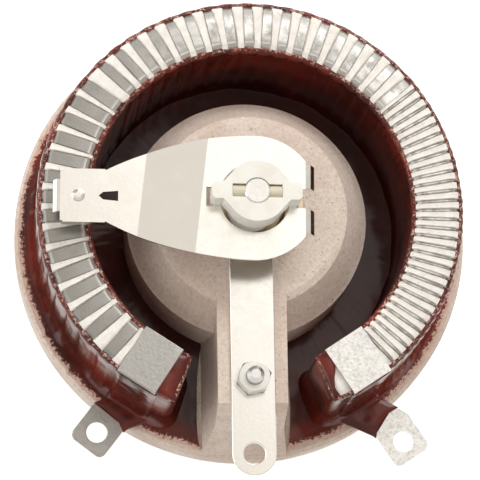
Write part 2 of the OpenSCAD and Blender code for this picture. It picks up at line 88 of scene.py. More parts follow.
def makeCamera():
    tilt, swing = math.radians(view["tilt"]), math.radians(view["swing"])
    back = Vector((-math.sin(tilt) * math.sin(swing), -math.sin(tilt) * math.cos(swing),
                   math.cos(tilt)))
    roll = math.radians(view["roll"])
    up = Vector((math.sin(roll), math.cos(roll), 0))
    right = (-back).cross(up).normalized()
    camera = bpy.data.objects.new("camera", bpy.data.cameras.new("camera"))
    camera.data.lens = view["lens"]
    camera.data.sensor_width = 36
    camera.data.clip_end = 20
    turn = Matrix((right, back.cross(right), back)).transposed()
    camera.matrix_world = Matrix.Translation(Vector(view["target"]) + back * view["distance"]) @ turn.to_4x4()
    scene.collection.objects.link(camera)
    scene.camera = camera


makeCamera()


# Lights and floor

studio = {"air": [(0.0, (0.85, 0.84, 0.82, 1)), (0.18, (0.80, 0.79, 0.77, 1)),        # height, colour
                  (0.45, (0.46, 0.44, 0.42, 1)), (0.62, (0.50, 0.47, 0.43, 1)),
                  (0.85, (0.82, 0.77, 0.70, 1))],
          "airStrength": 1.0,
          "floorGap": 0.0005, "floorSize": 3.0, "floorGrey": 0.75, "floorLift": 0.62}
softboxes = [
    # name, place, aimed at, width and height, watts
    ("softboxRight", (0.34, 0.33, 0.95), (0, 0, 0.02), (0.50, 0.66), 0.60),
    ("softboxBack", (0.30, 0.66, 0.70), (0, 0, 0.02), (0.60, 0.50), 4.6),
    ("softboxLeft", (-0.80, 0.10, 0.42), (0, 0, 0.02), (0.80, 0.50), 2.6),
]


def makeSoftbox(name, place, aim, size, watts):
    data = bpy.data.lights.new(name, "AREA")
    data.shape = "RECTANGLE"
    data.size, data.size_y = size
    data.energy = watts
    lamp = bpy.data.objects.new(name, data)
    lamp.location = place
    lamp.rotation_mode = "QUATERNION"
    lamp.rotation_quaternion = (Vector(aim) - Vector(place)).to_track_quat("-Z", "Y")
    scene.collection.objects.link(lamp)


for softbox in softboxes:
    makeSoftbox(*softbox)


def add(tree, kind, settings=None, **values):
    node = tree.nodes.new(kind)
    for key, value in (settings or {}).items():
        setattr(node, key, value)
    for key, value in values.items():
        node.inputs[key].default_value = value
    return node


def join(tree, source, target):
    tree.links.new(source, target)


def calc(tree, operation, first, second=None, clamp=False):
    node = add(tree, "ShaderNodeMath", {"operation": operation, "use_clamp": clamp})
    for slot, value in enumerate((first, second)):
        if isinstance(value, (int, float)):
            node.inputs[slot].default_value = value
        elif value is not None:
            join(tree, value, node.inputs[slot])
    return node.outputs[0]


def makeWorld():
    world = bpy.data.worlds.new("studioAir")
    scene.world = world
    world.use_nodes = True
    tree = world.node_tree
    tree.nodes.clear()
    out = add(tree, "ShaderNodeOutputWorld")
    where = add(tree, "ShaderNodeTexCoord")
    parts = add(tree, "ShaderNodeSeparateXYZ")
    join(tree, where.outputs["Generated"], parts.inputs[0])
    tint = add(tree, "ShaderNodeValToRGB")
    tint.color_ramp.interpolation = "EASE"
    tint.color_ramp.elements[0].position, tint.color_ramp.elements[0].color = studio["air"][0]
    tint.color_ramp.elements[1].position, tint.color_ramp.elements[1].color = studio["air"][-1]
    for position, colour in studio["air"][1:-1]:
        tint.color_ramp.elements.new(position).color = colour
    join(tree, parts.outputs["Z"], tint.inputs["Fac"])
    air = add(tree, "ShaderNodeBackground", Strength=studio["airStrength"])
    join(tree, tint.outputs["Color"], air.inputs["Color"])
    seen = add(tree, "ShaderNodeBackground", Strength=1.0)
    seen.inputs["Color"].default_value = (1, 1, 1, 1)
    path = add(tree, "ShaderNodeLightPath")
    mix = add(tree, "ShaderNodeMixShader")
    join(tree, path.outputs["Is Camera Ray"], mix.inputs[0])
    join(tree, air.outputs[0], mix.inputs[1])
    join(tree, seen.outputs[0], mix.inputs[2])
    join(tree, mix.outputs[0], out.inputs["Surface"])


def makeFloor():
    half = studio["floorSize"] / 2
    height = cadLow.z - studio["floorGap"]
    mesh = bpy.data.meshes.new("floor")
    mesh.from_pydata([(-half, -half, height), (half, -half, height), (half, half, height),
                      (-half, half, height)], [], [(0, 1, 2, 3)])
    floor = bpy.data.objects.new("floor", mesh)
    scene.collection.objects.link(floor)
    paint = bpy.data.materials.new("floorPaint")
    paint.use_nodes = True
    tree = paint.node_tree
    tree.nodes.clear()
    out = add(tree, "ShaderNodeOutputMaterial")
    matte = add(tree, "ShaderNodeBsdfDiffuse", Color=(*[studio["floorGrey"]] * 3, 1))
    path = add(tree, "ShaderNodeLightPath")
    direct = calc(tree, "ADD", path.outputs["Is Camera Ray"], path.outputs["Is Glossy Ray"], clamp=True)
    lift = add(tree, "ShaderNodeEmission")
    join(tree, calc(tree, "MULTIPLY", direct, studio["floorLift"]), lift.inputs["Strength"])
    both = add(tree, "ShaderNodeAddShader")
    join(tree, matte.outputs[0], both.inputs[0])
    join(tree, lift.outputs[0], both.inputs[1])
    join(tree, both.outputs[0], out.inputs["Surface"])
    mesh.materials.append(paint)


makeWorld()
makeFloor()
print("camera, softboxes and floor set")


# Shader groups that several finishes share

def newGroup(name, inputs, outputs):
    tree = bpy.data.node_groups.new(name, "ShaderNodeTree")
    for label, kind, value in inputs:
        socket = tree.interface.new_socket(label, in_out="INPUT", socket_type=kind)
        if value is not None:
            socket.default_value = value
    for label, kind in outputs:
        tree.interface.new_socket(label, in_out="OUTPUT", socket_type=kind)
    return tree, add(tree, "NodeGroupInput"), add(tree, "NodeGroupOutput")


def makeBlotches():     # soft patches of one colour in another
    tree, take, give = newGroup("blotches", [
        ("Place", "NodeSocketVector", None), ("Size", "NodeSocketFloat", 40.0),
        ("Roughness", "NodeSocketFloat", 0.6), ("Low", "NodeSocketFloat", 0.4),
        ("High", "NodeSocketFloat", 0.6)], [("Mask", "NodeSocketFloat")])
    cloud = add(tree, "ShaderNodeTexNoise", Detail=6.0, Distortion=0.4)
    join(tree, take.outputs["Place"], cloud.inputs["Vector"])
    join(tree, take.outputs["Size"], cloud.inputs["Scale"])
    join(tree, take.outputs["Roughness"], cloud.inputs["Roughness"])
    ramp = add(tree, "ShaderNodeMapRange", {"interpolation_type": "SMOOTHSTEP"})
    join(tree, cloud.outputs[0], ramp.inputs["Value"])
    join(tree, take.outputs["Low"], ramp.inputs["From Min"])
    join(tree, take.outputs["High"], ramp.inputs["From Max"])
    join(tree, ramp.outputs[0], give.inputs["Mask"])
    return tree


def makePits():         # scattered small pits, as in fired clay and cast cement
    tree, take, give = newGroup("pits", [
        ("Place", "NodeSocketVector", None), ("Per Metre", "NodeSocketFloat", 900.0),
        ("Share", "NodeSocketFloat", 0.2)],
        [("Mask", "NodeSocketFloat"), ("Height", "NodeSocketFloat")])
    cells = add(tree, "ShaderNodeTexVoronoi", {"feature": "F1"}, Randomness=1.0)
    join(tree, take.outputs["Place"], cells.inputs["Vector"])
    join(tree, take.outputs["Per Metre"], cells.inputs["Scale"])
    chance = add(tree, "ShaderNodeSeparateColor")
    join(tree, cells.outputs["Color"], chance.inputs[0])
    chosen = calc(tree, "LESS_THAN", chance.outputs[0], 0.5)
    join(tree, take.outputs["Share"], chosen.node.inputs[1])
    reach = calc(tree, "MULTIPLY_ADD", chance.outputs[1], 0.28)
    reach.node.inputs[2].default_value = 0.12
    hole = add(tree, "ShaderNodeMapRange", {"interpolation_type": "SMOOTHSTEP"})
    hole.inputs["From Min"].default_value = 0.0
    join(tree, reach, hole.inputs["From Max"])
    join(tree, cells.outputs["Distance"], hole.inputs["Value"])
    hole.inputs["To Min"].default_value = 1.0
    hole.inputs["To Max"].default_value = 0.0
    mask = calc(tree, "MULTIPLY", hole.outputs[0], chosen)
    join(tree, mask, give.inputs["Mask"])
    join(tree, calc(tree, "MULTIPLY", mask, -1.0), give.inputs["Height"])
    return tree


def makeDrawnGrain():   # fine lines left by rolling or drawing, along the axis that Stretch makes long
    tree, take, give = newGroup("drawnGrain", [
        ("Place", "NodeSocketVector", None), ("Stretch", "NodeSocketVector", (1.0, 1.0, 1.0)),
        ("Per Metre", "NodeSocketFloat", 1500.0)], [("Mask", "NodeSocketFloat")])
    pull = add(tree, "ShaderNodeVectorMath", {"operation": "MULTIPLY"})
    join(tree, take.outputs["Place"], pull.inputs[0])
    join(tree, take.outputs["Stretch"], pull.inputs[1])
    lines = add(tree, "ShaderNodeTexNoise", Detail=4.0, Roughness=0.65)
    join(tree, pull.outputs[0], lines.inputs["Vector"])
    join(tree, take.outputs["Per Metre"], lines.inputs["Scale"])
    join(tree, lines.outputs[0], give.inputs["Mask"])
    return tree


blotches, pits, drawnGrain = makeBlotches(), makePits(), makeDrawnGrain()


# Finishes

def newFinish(name, **values):
    paint = bpy.data.materials.new(name)
    paint.use_nodes = True
    tree = paint.node_tree
    tree.nodes.clear()
    out = add(tree, "ShaderNodeOutputMaterial")
    skin = add(tree, "ShaderNodeBsdfPrincipled", **values)
    join(tree, skin.outputs[0], out.inputs["Surface"])
    where = add(tree, "ShaderNodeTexCoord").outputs["Object"]
    return paint, tree, skin, where


def useGroup(tree, group, where, **values):
    node = add(tree, "ShaderNodeGroup", {"node_tree": group})
    join(tree, where, node.inputs["Place"])
    for key, value in values.items():
        node.inputs[key].default_value = value
    return node


def blend(tree, mask, first, second):
    mix = add(tree, "ShaderNodeMix", {"data_type": "RGBA"})
    join(tree, mask, mix.inputs["Factor"])
    for slot, value in ((6, first), (7, second)):
        if isinstance(value, tuple):
            mix.inputs[slot].default_value = (*value, 1)
        else:
            join(tree, value, mix.inputs[slot])
    return mix.outputs[2]


def between(tree, mask, low, high):
    ramp = add(tree, "ShaderNodeMapRange")
    join(tree, mask, ramp.inputs["Value"])
    ramp.inputs["To Min"].default_value = low
    ramp.inputs["To Max"].default_value = high
    return ramp.outputs[0]


def bump(tree, skin, height, depth, before=None):
    node = add(tree, "ShaderNodeBump", Strength=1.0, Distance=depth)
    join(tree, height, node.inputs["Height"])
    if before is not None:
        join(tree, before, node.inputs["Normal"])
    join(tree, node.outputs[0], skin.inputs["Normal"])
    return node.outputs[0]


def step(tree, value, first, last):     # rises smoothly from 0 to 1 between first and last
    ramp = add(tree, "ShaderNodeMapRange", {"interpolation_type": "SMOOTHSTEP"})
    ramp.inputs["From Min"].default_value, ramp.inputs["From Max"].default_value = first, last
    join(tree, value, ramp.inputs["Value"])
    return ramp.outputs[0]


def planRadius(tree, where):            # distance from the shaft's axis
    plan = add(tree, "ShaderNodeVectorMath", {"operation": "MULTIPLY"})
    join(tree, where, plan.inputs[0])
    plan.inputs[1].default_value = (1, 1, 0)
    radius = add(tree, "ShaderNodeVectorMath", {"operation": "LENGTH"})
    join(tree, plan.outputs[0], radius.inputs[0])
    return radius.outputs["Value"]


def partOf(tree, where, axis):
    parts = add(tree, "ShaderNodeSeparateXYZ")
    join(tree, where, parts.inputs[0])
    return parts.outputs[axis]


def fineNoise(tree, where, perMetre, detail):
    cloud = add(tree, "ShaderNodeTexNoise", Scale=perMetre, Detail=detail)
    join(tree, where, cloud.inputs["Vector"])
    return cloud.outputs[0]


ceramicLook = {"pale": (0.82, 0.71, 0.62), "pink": (0.70, 0.56, 0.48), "sootAndPitShade": (0.30, 0.22, 0.17),
               "shade": (0.40, 0.31, 0.26), "rough": (0.52, 0.72), "pitsPerMetre": 1500.0,
               "pitDepth": 0.00016, "grainPerMetre": 2600.0, "grainDepth": 0.00007}


def ceramicFinish():
    look = ceramicLook
    paint, tree, skin, where = newFinish("ceramic", Roughness=0.62)
    broad = useGroup(tree, blotches, where, Size=55.0, Low=0.35, High=0.7)
    stain = useGroup(tree, blotches, where, Size=180.0, Low=0.62, High=0.85, Roughness=0.7)
    small = useGroup(tree, pits, where, Share=0.42)
    small.inputs["Per Metre"].default_value = look["pitsPerMetre"]
    tone = blend(tree, broad.outputs[0], look["pale"], look["pink"])
    tone = blend(tree, calc(tree, "MULTIPLY", stain.outputs[0], 0.35), tone, look["sootAndPitShade"])
    sand = useGroup(tree, blotches, where, Size=1100.0, Low=0.35, High=0.75, Roughness=0.8)
    tone = blend(tree, calc(tree, "MULTIPLY", sand.outputs[0], 0.62), tone, look["shade"])
    # painted shade: the pits are painted darker where they sink in, on top of the random soot stains above
    tone = blend(tree, calc(tree, "MULTIPLY", small.outputs["Mask"], 0.75), tone, look["sootAndPitShade"])
    join(tree, tone, skin.inputs["Base Color"])
    join(tree, between(tree, broad.outputs[0], *look["rough"]), skin.inputs["Roughness"])
    first = bump(tree, skin, fineNoise(tree, where, look["grainPerMetre"], 3.0), look["grainDepth"])
    bump(tree, skin, small.outputs["Height"], look["pitDepth"], first)
    return paint


cementLook = {"pale": (0.90, 0.87, 0.83), "grey": (0.80, 0.76, 0.71), "dirt": (0.40, 0.30, 0.27),
              "grainPerMetre": 3500.0, "grainDepth": 0.00008}


def cementFinish():
    look = cementLook
    paint, tree, skin, where = newFinish("cement", Roughness=0.8)
    cloud = useGroup(tree, blotches, where, Size=420.0, Low=0.3, High=0.7)
    dirt = useGroup(tree, blotches, where, Size=900.0, Low=0.55, High=0.8)
    tone = blend(tree, cloud.outputs[0], look["pale"], look["grey"])
    tone = blend(tree, calc(tree, "MULTIPLY", dirt.outputs[0], 0.45), tone, look["dirt"])
    join(tree, tone, skin.inputs["Base Color"])
    bump(tree, skin, fineNoise(tree, where, look["grainPerMetre"], 4.0), look["grainDepth"])
    return paint


# wellShade and its limits are painted shade: the enamel is painted darker low in the well between the ring
# and the hub
enamelLook = {"deep": (0.062, 0.010, 0.007), "red": (0.185, 0.024, 0.014), "thin": (0.30, 0.12, 0.09),
              "wellShade": (0.040, 0.008, 0.006), "crust": (0.66, 0.44, 0.36), "wellShadeTop": 0.019,
              "wellShadeFoot": 0.008, "wellShadeRim": (0.0505, 0.0470), "rippleDepth": 0.00005, "peelDepth": 0.00001}


def enamelFinish():
    look = enamelLook
    paint, tree, skin, where = newFinish("enamel", Roughness=0.16)
    skin.inputs["Specular IOR Level"].default_value = 0.33
    flow = useGroup(tree, blotches, where, Size=60.0, Low=0.35, High=0.68)
    fleck = useGroup(tree, blotches, where, Size=700.0, Low=0.62, High=0.80)
    thin = add(tree, "ShaderNodeAttribute", {"attribute_name": "thinness"})
    tone = blend(tree, flow.outputs[0], look["deep"], look["red"])
    tone = blend(tree, calc(tree, "MULTIPLY", fleck.outputs[0], 0.25), tone, look["thin"])
    # painted shade: darker below 19 mm and inside a radius of 47 to 50.5 mm, down in the well
    wellShade = step(tree, partOf(tree, where, "Z"), look["wellShadeTop"], baseFoot * mm + look["wellShadeFoot"])
    inside = step(tree, planRadius(tree, where), *look["wellShadeRim"])
    wellShaded = calc(tree, "MULTIPLY", wellShade, inside)
    tone = blend(tree, calc(tree, "MULTIPLY", wellShaded, 0.8), tone, look["wellShade"])
    crumbs = useGroup(tree, blotches, where, Size=1300.0, Low=0.38, High=0.62, Roughness=0.75)
    ragged = calc(tree, "SUBTRACT", calc(tree, "ADD", crumbs.outputs[0],
                                         calc(tree, "MULTIPLY", thin.outputs["Fac"], 1.25)), 1.0)
    ragged = calc(tree, "MULTIPLY", ragged, 2.5, clamp=True)
    tone = blend(tree, ragged, tone, look["crust"])
    join(tree, tone, skin.inputs["Base Color"])
    join(tree, between(tree, ragged, 0.14, 0.5), skin.inputs["Roughness"])
    first = bump(tree, skin, fineNoise(tree, where, 220.0, 1.0), look["rippleDepth"])
    bump(tree, skin, fineNoise(tree, where, 1800.0, 2.0), look["peelDepth"], first)
    return paint


def turnPolishAndPaintedSheen(tree, where, polishAndPaintedSheen):       # where the brush has polished the turns, with painted sheen on the right-hand turns and a painted highlight along their inner bend
    distance = planRadius(tree, where)
    # brush polish with painted sheen: a band from 40.2 to 47.8 mm out, on the turns right of x = -30 mm, full
    # right of x = -4 mm
    band = calc(tree, "MULTIPLY", step(tree, distance, *polishAndPaintedSheen["in"]), step(tree, distance, *polishAndPaintedSheen["out"]))
    band = calc(tree, "MULTIPLY", band, step(tree, partOf(tree, where, "X"), *polishAndPaintedSheen["side"]))
    cloud = useGroup(tree, blotches, where, Size=350.0, Low=0.30, High=0.62)
    band = calc(tree, "MULTIPLY", band, cloud.outputs[0])
    # painted highlight along the turns' inner bend, inside a radius of about 40 mm
    bend = calc(tree, "MULTIPLY", step(tree, distance, *polishAndPaintedSheen["bend"]), 0.8)
    return calc(tree, "MAXIMUM", calc(tree, "MULTIPLY", band, polishAndPaintedSheen["share"]), bend)


def metalFinish(name, tone, dull, rough, stretch=(1.0, 1.0, 1.0), grainDepth=0.00002, dullShare=0.5,
                grainPerMetre=1500.0, patchSize=160.0, darkerTowardsLeft=None, speckle=0.0, polishAndPaintedSheen=None):
    paint, tree, skin, where = newFinish(name, Metallic=1.0)
    grain = useGroup(tree, drawnGrain, where, Stretch=stretch)
    grain.inputs["Per Metre"].default_value = grainPerMetre
    patch = useGroup(tree, blotches, where, Size=patchSize, Low=0.40, High=0.72)
    colour = blend(tree, calc(tree, "MULTIPLY", patch.outputs[0], dullShare), tone, dull)
    speck = step(tree, grain.outputs[0], 0.46, 0.66)
    colour = blend(tree, calc(tree, "MULTIPLY", speck, speckle), colour, dull)
    # brush polish, painted sheen and the painted inner-bend highlight
    if polishAndPaintedSheen:
        colour = blend(tree, turnPolishAndPaintedSheen(tree, where, polishAndPaintedSheen), colour, polishAndPaintedSheen["tone"])
    # darker towards the left: blended 72% towards the dull colour left of x = -20 mm, fading out by x = -10
    # mm
    if darkerTowardsLeft:
        towardsLeft = step(tree, partOf(tree, where, "X"), *darkerTowardsLeft)
        colour = blend(tree, calc(tree, "MULTIPLY", towardsLeft, 0.72), colour, dull)
    join(tree, colour, skin.inputs["Base Color"])
    shade = calc(tree, "ADD", between(tree, grain.outputs[0], rough[0], rough[1]),
                 calc(tree, "MULTIPLY", patch.outputs[0], 0.08), clamp=True)
    join(tree, shade, skin.inputs["Roughness"])
    bump(tree, skin, grain.outputs[0], grainDepth)
    return paint


def mouldingFinish():
    paint, tree, skin, where = newFinish("whiteMoulding", Roughness=0.3)
    skin.inputs["Subsurface Weight"].default_value = 0.25
    skin.inputs["Subsurface Radius"].default_value = (0.0012, 0.0011, 0.0009)
    skin.inputs["Subsurface Scale"].default_value = 1.0
    cloud = useGroup(tree, blotches, where, Size=260.0, Low=0.3, High=0.7)
    join(tree, blend(tree, cloud.outputs[0], (0.86, 0.85, 0.80), (0.78, 0.76, 0.69)),
         skin.inputs["Base Color"])
    join(tree, between(tree, cloud.outputs[0], 0.24, 0.42), skin.inputs["Roughness"])
    bump(tree, skin, fineNoise(tree, where, 500.0, 2.0), 0.00004)
    return paint


def pinFinish():
    paint, tree, skin, where = newFinish("insulatingPin", Roughness=0.45)
    fibre = useGroup(tree, drawnGrain, where, Stretch=(0.1, 1.0, 1.0))
    join(tree, blend(tree, fibre.outputs[0], (0.72, 0.68, 0.54), (0.58, 0.53, 0.39)),
         skin.inputs["Base Color"])
    bump(tree, skin, fibre.outputs[0], 0.00003)
    return paint


def graphiteFinish():
    paint, tree, skin, where = newFinish("graphite", Roughness=0.5, Metallic=0.3)
    cloud = useGroup(tree, blotches, where, Size=800.0, Low=0.4, High=0.7)
    join(tree, blend(tree, cloud.outputs[0], (0.05, 0.045, 0.04), (0.14, 0.10, 0.08)),
         skin.inputs["Base Color"])
    join(tree, between(tree, cloud.outputs[0], 0.4, 0.65), skin.inputs["Roughness"])
    return paint


finishes = {
    "ceramic": ceramicFinish(),
    "cement": cementFinish(),
    "enamel": enamelFinish(),
    # the alloy turns get the brush's polish, painted sheen on the right-hand turns and a painted highlight on
    # their inner bend
    "resistance_alloy": metalFinish("resistanceAlloy", (0.36, 0.35, 0.33), (0.22, 0.21, 0.19), (0.22, 0.40),
                                    grainPerMetre=2500.0, grainDepth=0.00003, speckle=0.35,
                                    polishAndPaintedSheen={"tone": (0.86, 0.85, 0.83), "in": (0.0402, 0.0418),
                                          "out": (0.0478, 0.0462), "side": (-0.030, -0.004),
                                          "bend": (0.0408, 0.0396), "share": 0.75}),
    "tinned_sheet": metalFinish("tinnedSheet", (0.78, 0.77, 0.75), (0.33, 0.32, 0.30), (0.22, 0.38),
                                grainPerMetre=1300.0, grainDepth=0.00008, patchSize=420.0,
                                dullShare=0.22, speckle=0.40, darkerTowardsLeft=(-0.010, -0.020)),
    "nickel_sheet": metalFinish("nickelSheet", (0.87, 0.85, 0.81), (0.80, 0.77, 0.71), (0.12, 0.26),
                                grainPerMetre=1300.0, grainDepth=0.000012, dullShare=0.35),
    "plated_steel": metalFinish("platedSteel", (0.80, 0.79, 0.77), (0.58, 0.56, 0.53), (0.22, 0.40)),
    "brass": metalFinish("brass", (0.74, 0.62, 0.42), (0.52, 0.41, 0.26), (0.24, 0.40)),
    "turned_steel": metalFinish("turnedSteel", (0.80, 0.79, 0.77), (0.62, 0.60, 0.57), (0.16, 0.30),
                                stretch=(1.0, 1.0, 4.0)),
    "white_moulding": mouldingFinish(),
    "insulating_pin": pinFinish(),
    "bronze": metalFinish("bronze", (0.62, 0.50, 0.38), (0.42, 0.32, 0.22), (0.24, 0.42)),
    "graphite": graphiteFinish(),
}
slotOfNode = {part["node"]: part["material_slot"] for part in frame["record"]["subparts"]}
bodyOfNode = {node: body for body, members in frame["record"]["behaviour"]["bodies"].items()
              for node in members}
for name, node in cadNodes.items():
    node.data.materials.clear()
    node.data.materials.append(finishes[slotOfNode[name]])
print("finishes made:", len(finishes))


# Mesh helpers

def newPiece(name, vertices, faces, slot, body, replaced=(), sharp=40.0):
    mesh = bpy.data.meshes.new(name)
    mesh.from_pydata([tuple(v) for v in np.asarray(vertices) * mm], [], faces)
    return finishPiece(name, mesh, slot, body, replaced, sharp)


def finishPiece(name, mesh, slot, body, replaced=(), sharp=40.0):
    shape = bmesh.new()
    shape.from_mesh(mesh)
    bmesh.ops.remove_doubles(shape, verts=shape.verts, dist=1e-7)
    bmesh.ops.recalc_face_normals(shape, faces=shape.faces)
    shape.to_mesh(mesh)
    shape.free()
    mesh.shade_smooth()
    mesh.set_sharp_from_angle(angle=math.radians(sharp))
    mesh.materials.clear()
    mesh.materials.append(finishes[slot])
    piece = bpy.data.objects.new(name, mesh)
    scene.collection.objects.link(piece)
    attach(piece, body)
    if replaced:
        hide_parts(*replaced)
    return piece


def ringFaces(rows, columns, closeRows=True):      # rows of points, each row a closed ring
    return [(r * columns + c, r * columns + (c + 1) % columns,
             ((r + 1) % rows) * columns + (c + 1) % columns, ((r + 1) % rows) * columns + c)
            for r in range(rows if closeRows else rows - 1) for c in range(columns)]


def slabFaces(rows, columns, start=0, turnedOver=False):    # a grid, the same grid below it, and the rim
    area = rows * columns
    faces = []
    for r in range(rows - 1):
        for c in range(columns - 1):
            a = start + r * columns + c
            quad = (a, a + 1, a + columns + 1, a + columns)
            if turnedOver:
                quad = (a, *quad[:0:-1])
            faces.append(quad)
            faces.append(tuple(v + area for v in reversed(quad)))
    rim = [start + c for c in range(columns)]
    rim += [start + r * columns + columns - 1 for r in range(1, rows)]
    rim += [start + (rows - 1) * columns + c for c in range(columns - 2, -1, -1)]
    rim += [start + r * columns for r in range(rows - 2, 0, -1)]
    for a, b in zip(rim, rim[1:] + rim[:1]):
        faces.append((a, b, b + area, a + area) if turnedOver else (b, a, a + area, b + area))
    return faces


def wander(x, y, z, size, seed):        # smooth noise between about -1 and 1
    return noise.noise(Vector((x / size + seed * 17.3, y / size - seed * 5.1, z / size + seed)))


def smooth(x):
    x = min(max(x, 0.0), 1.0)
    return x * x * (3 - 2 * x)


def turned(degrees):
    a = math.radians(degrees)
    return math.cos(a), math.sin(a)


easing = {"weld": 2e-6, "flat": 1.0, "edge": 28.0, "fineEdge": 4.0, "fineBelow": 0.3, "segments": 2,
          "flatWeight": 90}       # weld in metres, angles in degrees


def softEdged(nodeName, width):     # a copy of a CAD node with its edges rounded
    mesh = cadNodes[nodeName].data.copy()
    shape = bmesh.new()
    shape.from_mesh(mesh)
    bmesh.ops.remove_doubles(shape, verts=shape.verts, dist=easing["weld"])
    bmesh.ops.dissolve_limit(shape, angle_limit=math.radians(easing["flat"]), verts=shape.verts,
                             edges=shape.edges)
    shape.to_mesh(mesh)
    shape.free()
    mesh.shade_smooth()
    sharp = easing["fineEdge"] if width < easing["fineBelow"] else easing["edge"]
    mesh.set_sharp_from_angle(angle=math.radians(sharp))
    piece = bpy.data.objects.new(nodeName + "Soft", mesh)
    scene.collection.objects.link(piece)
    rounding = piece.modifiers.new("rounding", "BEVEL")
    rounding.width = width * mm
    rounding.segments = easing["segments"]
    rounding.limit_method = "ANGLE"
    rounding.angle_limit = math.radians(easing["edge"])
    rounding.use_clamp_overlap = True
    flat = piece.modifiers.new("flatFaces", "WEIGHTED_NORMAL")
    flat.keep_sharp = True
    flat.weight = easing["flatWeight"]
    made = bpy.data.meshes.new_from_object(piece.evaluated_get(bpy.context.evaluated_depsgraph_get()))
    bpy.data.objects.remove(piece)
    made.materials.clear()
    made.materials.append(finishes[slotOfNode[nodeName]])
    piece = bpy.data.objects.new(nodeName + "Soft", made)
    scene.collection.objects.link(piece)
    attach(piece, bodyOfNode[nodeName])
    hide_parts(nodeName)
    return piece


# The graded winding

winding = {
    "wide": {"node": "ribbon_wide", "first": 225.9, "pitch": 5.75, "spread": 3.0, "turns": 15, "width": 3.0,
             "corner": 0.12, "bow": 0.16, "scatter": 0.25},
    "medium": {"node": "ribbon_medium", "first": 135.2, "pitch": 5.65, "spread": 0.0, "turns": 18,
               "width": 2.2, "corner": 0.12, "bow": 0.16, "scatter": 0.22},
    "fine": {"node": "wire_fine", "first": 35.91, "pitch": 2.83, "spread": 0.0, "turns": 31, "width": 0.6,
             "corner": 0.22, "bow": 0.10, "scatter": 0.12},
}
track = {"inner": 39.0, "outer": 49.2, "top": trackTop, "foot": coreLow.z - ribbonThick,
         "bend": 0.85, "bendSteps": 1, "lean": 2.0, "unevenness": 0.0015}
trackMiddle = (track["inner"] + track["outer"]) / 2


def turnAngles(kind):
    part = winding[kind]
    return [part["first"] - i * part["pitch"] - part["spread"] * i / (i + 1) for i in range(part["turns"])]


